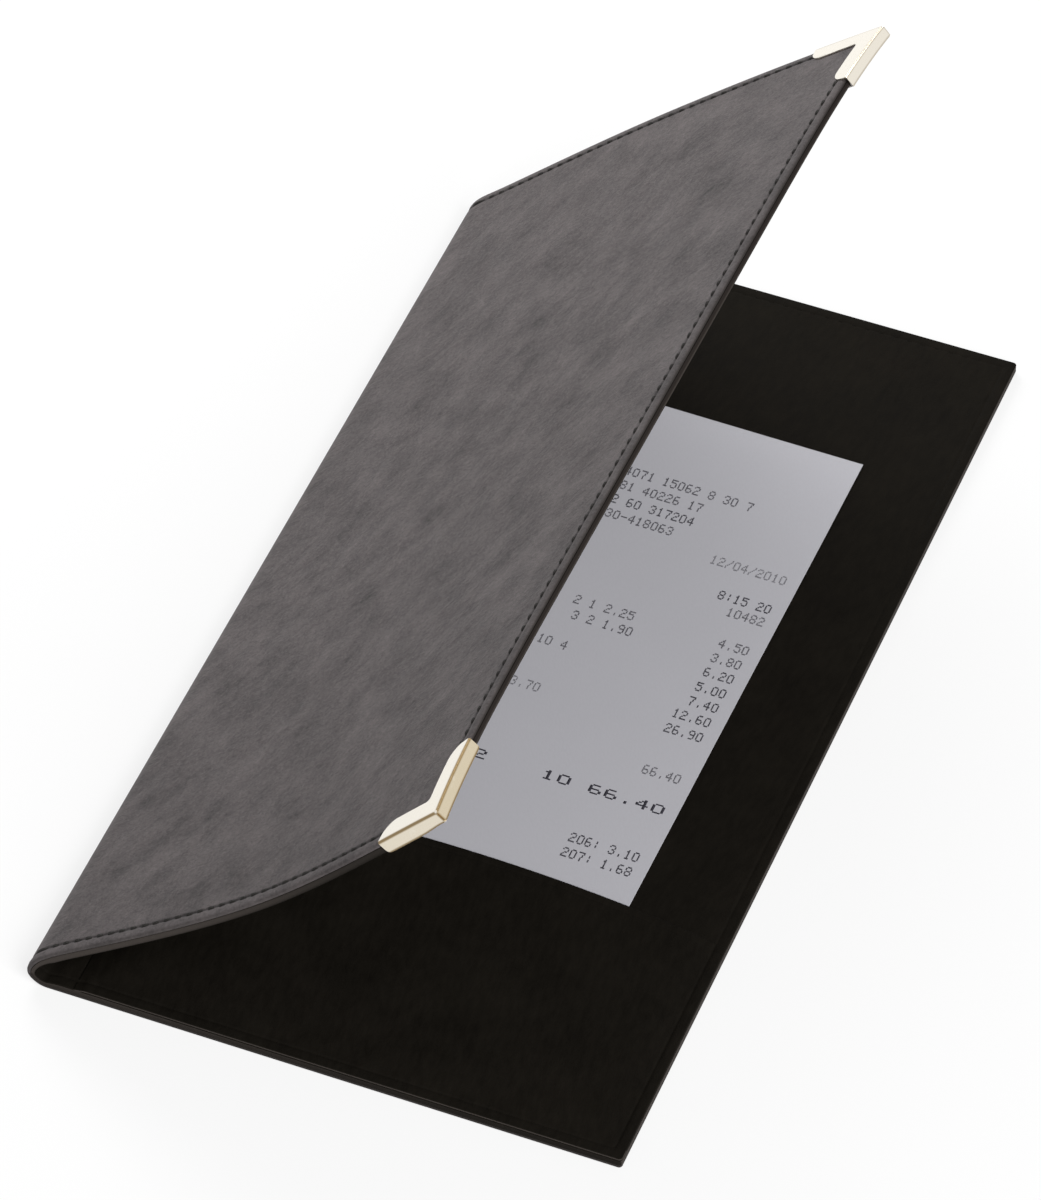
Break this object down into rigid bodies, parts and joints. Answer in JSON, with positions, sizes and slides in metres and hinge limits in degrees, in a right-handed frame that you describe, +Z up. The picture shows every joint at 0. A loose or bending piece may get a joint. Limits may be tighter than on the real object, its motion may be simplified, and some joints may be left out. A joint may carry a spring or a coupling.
{
  "type": "guest check presenter",
  "caption": "Guest check presenter standing half open: two stiff leatherette panels on a soft spine, gilt corner guards on the cover, and a printed check in the sewn inner pocket.",
  "frame": {"origin": "middle of the overall outline, on the surface that the back panel lies on", "axes": "+X from the spine towards the free edge of the back panel, +Y along the spine away from the pocket, +Z up"},
  "size_m": [0.125, 0.2308, 0.0895],
  "materials": {
    "leatherette": "mottled matt grey leatherette with a soft sheen",
    "greyboard": "uncoated greyboard, hidden between the sewn layers",
    "lining": "smooth near-black lining with a faint satin sheen",
    "gilt_metal": "polished pale gold plate",
    "check_paper": "smooth white thermal paper with grey print"
  },
  "bodies": {
    "back": {"back_skin": "leatherette", "back_board": "greyboard", "back_lining": "lining", "check_pocket": "lining"},
    "spine": {"spine_skin": "leatherette", "spine_lining": "lining"},
    "cover": {"cover_skin": "leatherette", "cover_board": "greyboard", "cover_lining": "lining", "corner_guard_near": "gilt_metal", "corner_guard_far": "gilt_metal"},
    "check": {"guest_check": "check_paper"}
  },
  "joints": [
    {"name": "spine_hinge", "type": "hinge", "parent": "back", "child": "spine", "pos_m": [-0.0615, 0, 0.00065], "axis": [0, -1, 0], "range_deg": [0, 90]},
    {"name": "cover_hinge", "type": "hinge", "parent": "spine", "child": "cover", "pos_m": [-0.0615, 0, 0.00665], "axis": [0, -1, 0], "range_deg": [-40.2, 45.8]},
    {"name": "check_slide", "type": "slide", "parent": "back", "child": "check", "axis": [0.014, 0.9999, 0], "range_m": [0, 0.06]}
  ]
}
